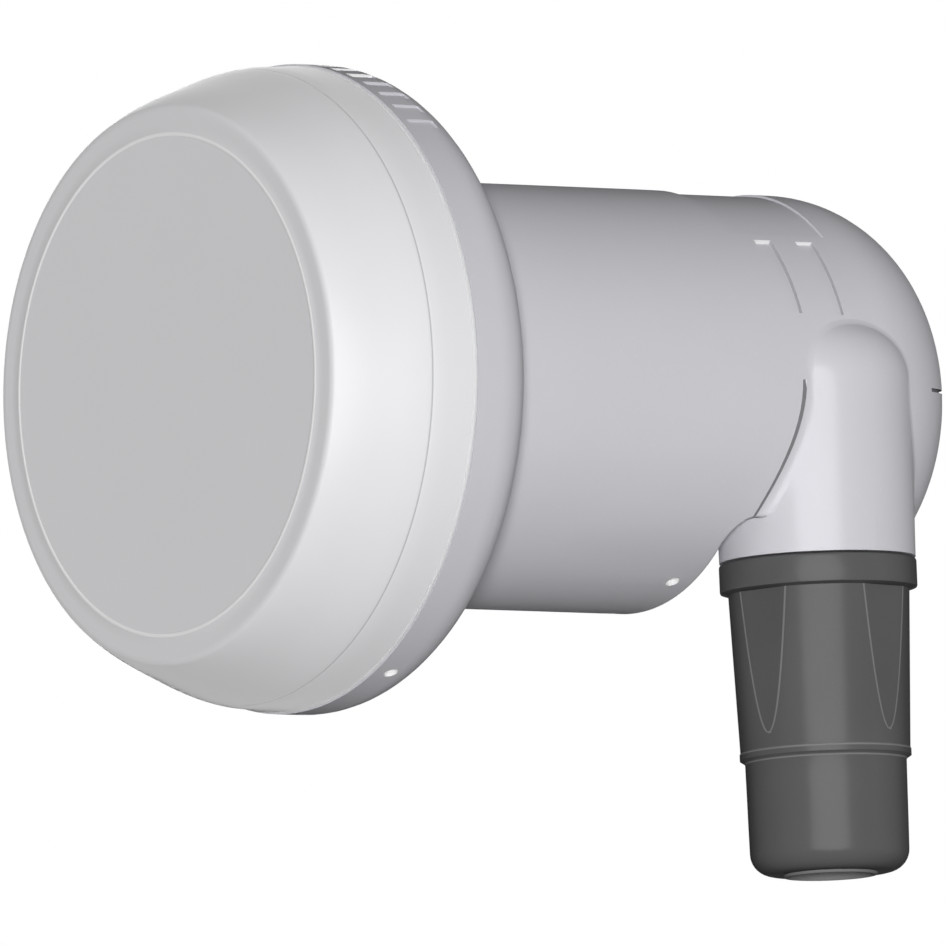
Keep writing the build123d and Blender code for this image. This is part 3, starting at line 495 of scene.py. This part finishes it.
# Seal: its outer edge swells into a small round bead in the seam
middle = (T_CAP_END + T_FLANGE) / 2
half = (T_FLANGE - T_CAP_END) / 2
profile = [(T_CAP_END, SEAL_IN_R), (T_CAP_END, CAP_RIM_R - 0.1)]
profile += [
    (middle - half * math.cos(math.pi * k / 10), CAP_RIM_R + SEAL_BULGE * math.sin(math.pi * k / 10))
    for k in range(11)
]
profile += [(T_FLANGE, CAP_RIM_R - 0.1), (T_FLANGE, SEAL_IN_R)]
rings = [[(t, r, 2 * math.pi * k / TURN, 0) for k in range(TURN)] for t, r in profile]
make_piece(
    "cap_seal_bead", *turned(rings, on_neck, True), [seal_white], "lnb_body", "seal_white",
    "cap_seal", 50.0,
)

# Weather boot: turned sleeve with four finger flats; the flats' edges and the step rings' edges carry
# a paler grey as painted highlight, and the lip and the cable hole's wall the same grey as painted
# light
collar_end = BOOT_COLLAR + BOOT_CHAMFER


def body_r(s):
    return BOOT_TOP_R + (BOOT_LOW_R - BOOT_TOP_R) * (s - collar_end) / (BOOT_STEP - collar_end)


boot = [(BOOT_GAP, BOOT_BORE_R, 0), (BOOT_GAP, BOOT_COLLAR_R - BOOT_ROUND, 0)]
boot += [
    (BOOT_GAP + BOOT_ROUND * (1 - math.cos(a)), BOOT_COLLAR_R - BOOT_ROUND * (1 - math.sin(a)), 0)
    for a in (math.pi / 8, math.pi / 4, 3 * math.pi / 8, math.pi / 2)
]
boot += [(BOOT_COLLAR - 0.15, BOOT_COLLAR_R, 0), (BOOT_COLLAR, BOOT_COLLAR_R - 0.05, 0)]
boot += [(collar_end, BOOT_TOP_R + 0.05, 0)]
flat_from = len(boot)
flat_top = collar_end + 0.02
flat_low = BOOT_STEP - 0.1
taper = (BOOT_TOP_R - BOOT_FLAT) / (BOOT_TOP_R - BOOT_LOW_R)
flat_tip = collar_end + (BOOT_STEP - collar_end) * taper
levels = [flat_tip - (flat_tip - flat_top) * (1 - k / FLAT_ROWS) ** 2 for k in range(FLAT_ROWS)]
levels += [flat_tip, flat_tip + FLAT_TIP, (flat_tip + BOOT_STEP) / 2, flat_low]
boot += [(s, None, 0) for s in levels]
flat_to = len(boot)
# the step rings' edges take the paler grey: painted highlight
boot += [
    (BOOT_STEP, BOOT_LOW_R, 1),
    (BOOT_STEP + BOOT_BEAD, BOOT_LOW_R + BOOT_BEAD, 1),
    (BOOT_STEP + 0.22, BOOT_LOW_R + BOOT_BEAD, 0),
    (BOOT_STEP + BOOT_BEAD_W, BOOT_LOW_R + BOOT_BEAD, 0),
    (BOOT_STEP + BOOT_STEP_W - 0.1, BOOT_TAIL_R + 0.08, 1),
    (BOOT_STEP + BOOT_STEP_W + 0.06, BOOT_TAIL_R, 0),
    (BOOT_STEP + 4.0, BOOT_TAIL_R - 0.035, 0),
    (BOOT_STEP + 7.0, BOOT_TAIL_R - 0.065, 0),
]
boot += [
    (
        BOOT_LENGTH - BOOT_BOTTOM_R * (1 - math.sin(a)),
        BOOT_TAIL_LOW_R - BOOT_BOTTOM_R * (1 - math.cos(a)),
        0,
    )
    for a in [math.pi / 2 * k / 10 for k in range(11)]
]
# the lip and the cable hole's wall take the paler grey: painted light
boot += [
    (BOOT_LENGTH, BOOT_LIP_R + 0.05, 1),
    (BOOT_LENGTH + BOOT_LIP - 0.06, BOOT_LIP_R, 1),
    (BOOT_LENGTH + BOOT_LIP, BOOT_LIP_R - 0.06, 1),
    (BOOT_LENGTH + BOOT_LIP, CABLE_HOLE_R + 0.08, 1),
    (BOOT_LENGTH + BOOT_LIP - 0.08, CABLE_HOLE_R, 1),
    (BOOT_LENGTH - BOOT_FLOOR, CABLE_HOLE_R, 0),
    (BOOT_LENGTH - BOOT_FLOOR, BOOT_CAVITY_R - BOOT_CAVITY_CHAMFER, 0),
    (BOOT_LENGTH - BOOT_FLOOR - BOOT_CAVITY_CHAMFER, BOOT_CAVITY_R, 0),
    (NOSE_LENGTH, BOOT_CAVITY_R, 0),
    (NOSE_LENGTH, BOOT_BORE_R, 0),
]
rings = []
for i, (s, r, mark) in enumerate(boot):
    on_flat = flat_from <= i < flat_to
    full = body_r(s) if on_flat else r
    spread = math.acos(min(1.0, BOOT_FLAT / full)) if on_flat and full > BOOT_FLAT else 0.0
    if not on_flat:
        # rings away from the flats keep the same columns, so no face is skewed
        level = body_r(min(max(s, flat_top), flat_low))
        spread = math.acos(min(1.0, BOOT_FLAT / level)) if level > BOOT_FLAT else 0.0
    line = FLAT_LINE_W / 2 / full
    spread = max(spread, 2.2 * line)
    ring = []
    for q in range(4):
        mid = BOOT_FLAT_ANGLE + q * math.pi / 2
        start, stop = mid - spread, mid + spread
        flat_on = on_flat and full > BOOT_FLAT
        # columns along the flats' edges and round the flats' tips take the paler grey: painted
        # highlight
        marked = 1 if flat_on else mark
        tip = on_flat and -FLAT_TIP < s - flat_tip < FLAT_TIP / 2
        stops = [(start - line, marked), (start + line, mark)]
        step = 2 * (spread - line) / FLAT_STEPS
        stops += [(start + line + step * k, mark) for k in range(1, FLAT_STEPS)]
        stops += [(stop - line, marked), (stop + line, mark)]
        gap = math.pi / 2 - 2 * spread - 2 * line
        stops += [(stop + line + gap * k / ARC_STEPS, mark) for k in range(1, ARC_STEPS)]
        for a, m in stops:
            radius = full
            if flat_on and abs(a - mid) < spread:
                radius = min(full, BOOT_FLAT / math.cos(a - mid))
            if tip and abs(a - mid) < spread + 0.9 * line:
                m = 1
            ring.append((-s, radius, a, m))
    rings.append(ring)
make_piece(
    "weather_boot_sleeve", *turned(rings, on_boss, True),
    [boot_rubber, boot_line_painted_light], "boot", "boot_rubber", "weather_boot", 35.0,
)

# Connector barrel: a real screw thread, plain body above it and a lead-in at its end
length = BARREL_OUT + THREAD_TOP
rows = int(length / THREAD_PITCH * PER_PITCH)


def thread_r(s, a):
    # V thread with a narrow flat crest and root, fading in over the first turn
    x = (s / THREAD_PITCH - a / (2 * math.pi)) % 1.0
    depth = min(1.0, max(0.0, abs(2 * x - 1) * 1.3 - 0.12))
    fade = min(1.0, max(0.0, (s + BARREL_OUT) / THREAD_FADE)) * 0.6 + 0.4
    return (THREAD_R - THREAD_DEPTH * depth) * fade + (THREAD_R - THREAD_DEPTH) * (1 - fade)


turn = [2 * math.pi * k / THREAD_TURN for k in range(THREAD_TURN)]
rings = [[(-BARREL_OUT, BARREL_BORE_R + THREAD_LEAD, a, 0) for a in turn]]
for k in range(rows + 1):
    s = -BARREL_OUT + length * k / rows
    rings.append([(s, thread_r(s, a), a, 0) for a in turn])
for s, r in (
    (THREAD_TOP, BARREL_R - THREAD_LEAD), (THREAD_TOP + THREAD_LEAD, BARREL_R),
    (BARREL_IN, BARREL_R), (BARREL_IN, BARREL_BORE_R), (-BARREL_OUT + THREAD_LEAD, BARREL_BORE_R),
):
    rings.append([(s, r, a, 0) for a in turn])
make_piece(
    "connector_barrel_thread", *turned(rings, on_boss, True), [nickel], "lnb_body", "nickel_brass",
    "connector_barrel", 40.0,
)

# Stage: pale floor under the part, sizes in metres, and a white world
FLOOR_Z = -0.16
FLOOR_R = 0.3
FLOOR_SIDES = 96
FLOOR_TONE = 0.55
FLOOR_LIFT = 0.80
AMBIENT = 0.03


def seen_directly(nt):
    # 1 for camera, glossy and transmission rays, else 0
    path = nt.nodes.new("ShaderNodeLightPath")
    first = nt.nodes.new("ShaderNodeMath")
    first.operation = "MAXIMUM"
    second = nt.nodes.new("ShaderNodeMath")
    second.operation = "MAXIMUM"
    nt.links.new(path.outputs["Is Camera Ray"], first.inputs[0])
    nt.links.new(path.outputs["Is Glossy Ray"], first.inputs[1])
    nt.links.new(first.outputs["Value"], second.inputs[0])
    nt.links.new(path.outputs["Is Transmission Ray"], second.inputs[1])
    return second.outputs["Value"]


floor_mat = bpy.data.materials.new("floor")
floor_mat.use_nodes = True
nt = floor_mat.node_tree
nt.nodes.clear()
out = nt.nodes.new("ShaderNodeOutputMaterial")
add = nt.nodes.new("ShaderNodeAddShader")
pale = nt.nodes.new("ShaderNodeBsdfDiffuse")
pale.inputs["Color"].default_value = (FLOOR_TONE, FLOOR_TONE, FLOOR_TONE, 1)
glow = nt.nodes.new("ShaderNodeEmission")
lift = nt.nodes.new("ShaderNodeMath")
lift.operation = "MULTIPLY"
lift.inputs[1].default_value = FLOOR_LIFT
nt.links.new(seen_directly(nt), lift.inputs[0])
nt.links.new(lift.outputs["Value"], glow.inputs["Strength"])
nt.links.new(pale.outputs["BSDF"], add.inputs[0])
nt.links.new(glow.outputs["Emission"], add.inputs[1])
nt.links.new(add.outputs["Shader"], out.inputs["Surface"])

around = [2 * math.pi * k / FLOOR_SIDES for k in range(FLOOR_SIDES)]
rim = [(FLOOR_R * math.cos(a), FLOOR_R * math.sin(a), FLOOR_Z) for a in around]
floor_mesh = bpy.data.meshes.new("floor")
floor_mesh.from_pydata(rim, [], [tuple(range(FLOOR_SIDES))])
floor_mesh.materials.append(floor_mat)
floor = bpy.data.objects.new("floor", floor_mesh)
bpy.context.scene.collection.objects.link(floor)

world = bpy.data.worlds.new("studio")
bpy.context.scene.world = world
world.use_nodes = True
nt = world.node_tree
nt.nodes.clear()
out = nt.nodes.new("ShaderNodeOutputWorld")
mix = nt.nodes.new("ShaderNodeMixShader")
soft = nt.nodes.new("ShaderNodeBackground")
soft.inputs["Color"].default_value = (1, 1, 1, 1)
soft.inputs["Strength"].default_value = AMBIENT
white = nt.nodes.new("ShaderNodeBackground")
white.inputs["Color"].default_value = (1, 1, 1, 1)
white.inputs["Strength"].default_value = 1.0
nt.links.new(seen_directly(nt), mix.inputs["Fac"])
nt.links.new(soft.outputs["Background"], mix.inputs[1])
nt.links.new(white.outputs["Background"], mix.inputs[2])
nt.links.new(mix.outputs["Shader"], out.inputs["Surface"])


def towards(azimuth, elevation):
    a, e = math.radians(azimuth), math.radians(elevation)
    return Vector((math.sin(a) * math.cos(e), -math.cos(a) * math.cos(e), math.sin(e)))


def sun(name, azimuth, elevation, level, spread, body=True, shine=True):
    # level is the light that a surface facing the lamp sends back, as a share of its colour.
    # A lamp gives body colour, shine or both.
    lamp = bpy.data.lights.new(name, "SUN")
    lamp.energy = level * math.pi
    lamp.angle = math.radians(spread)
    obj = bpy.data.objects.new(name, lamp)
    obj.rotation_mode = "QUATERNION"
    obj.rotation_quaternion = (-towards(azimuth, elevation)).to_track_quat("-Z", "Y")
    obj.visible_diffuse = body
    obj.visible_glossy = shine
    bpy.context.scene.collection.objects.link(obj)


sun("key", 53.5, -0.5, 0.935, 8, shine=False)
sun("shine", 55.5, 0.0, 0.965, 55, body=False)
sun("rear", 165.0, 3.0, 0.27, 90)
sun("counter", 237.0, 5.0, 0.78, 20, shine=False)
sun("top", 20.0, 80.0, 0.03, 60)

# Camera: the photograph's angle, through a very long lens
VIEW_AZ, VIEW_EL = 53.46, -2.73
HALF_VIEW = math.radians(0.65)
FRAME_WIDTH = 88.66 * MM
AIM = Vector((-0.04, -2.14, -7.18)) * MM
camera = bpy.data.cameras.new("camera")
camera.sensor_width = 36.0
camera.lens = camera.sensor_width / 2 / math.tan(HALF_VIEW)
camera.clip_start, camera.clip_end = 0.1, 20.0
camera_obj = bpy.data.objects.new("camera", camera)
camera_obj.location = AIM + towards(VIEW_AZ, VIEW_EL) * (FRAME_WIDTH / 2 / math.tan(HALF_VIEW))
camera_obj.rotation_mode = "QUATERNION"
camera_obj.rotation_quaternion = (-towards(VIEW_AZ, VIEW_EL)).to_track_quat("-Z", "Y")
bpy.context.scene.collection.objects.link(camera_obj)
bpy.context.scene.camera = camera_obj
bpy.context.scene.view_settings.view_transform = "Standard"
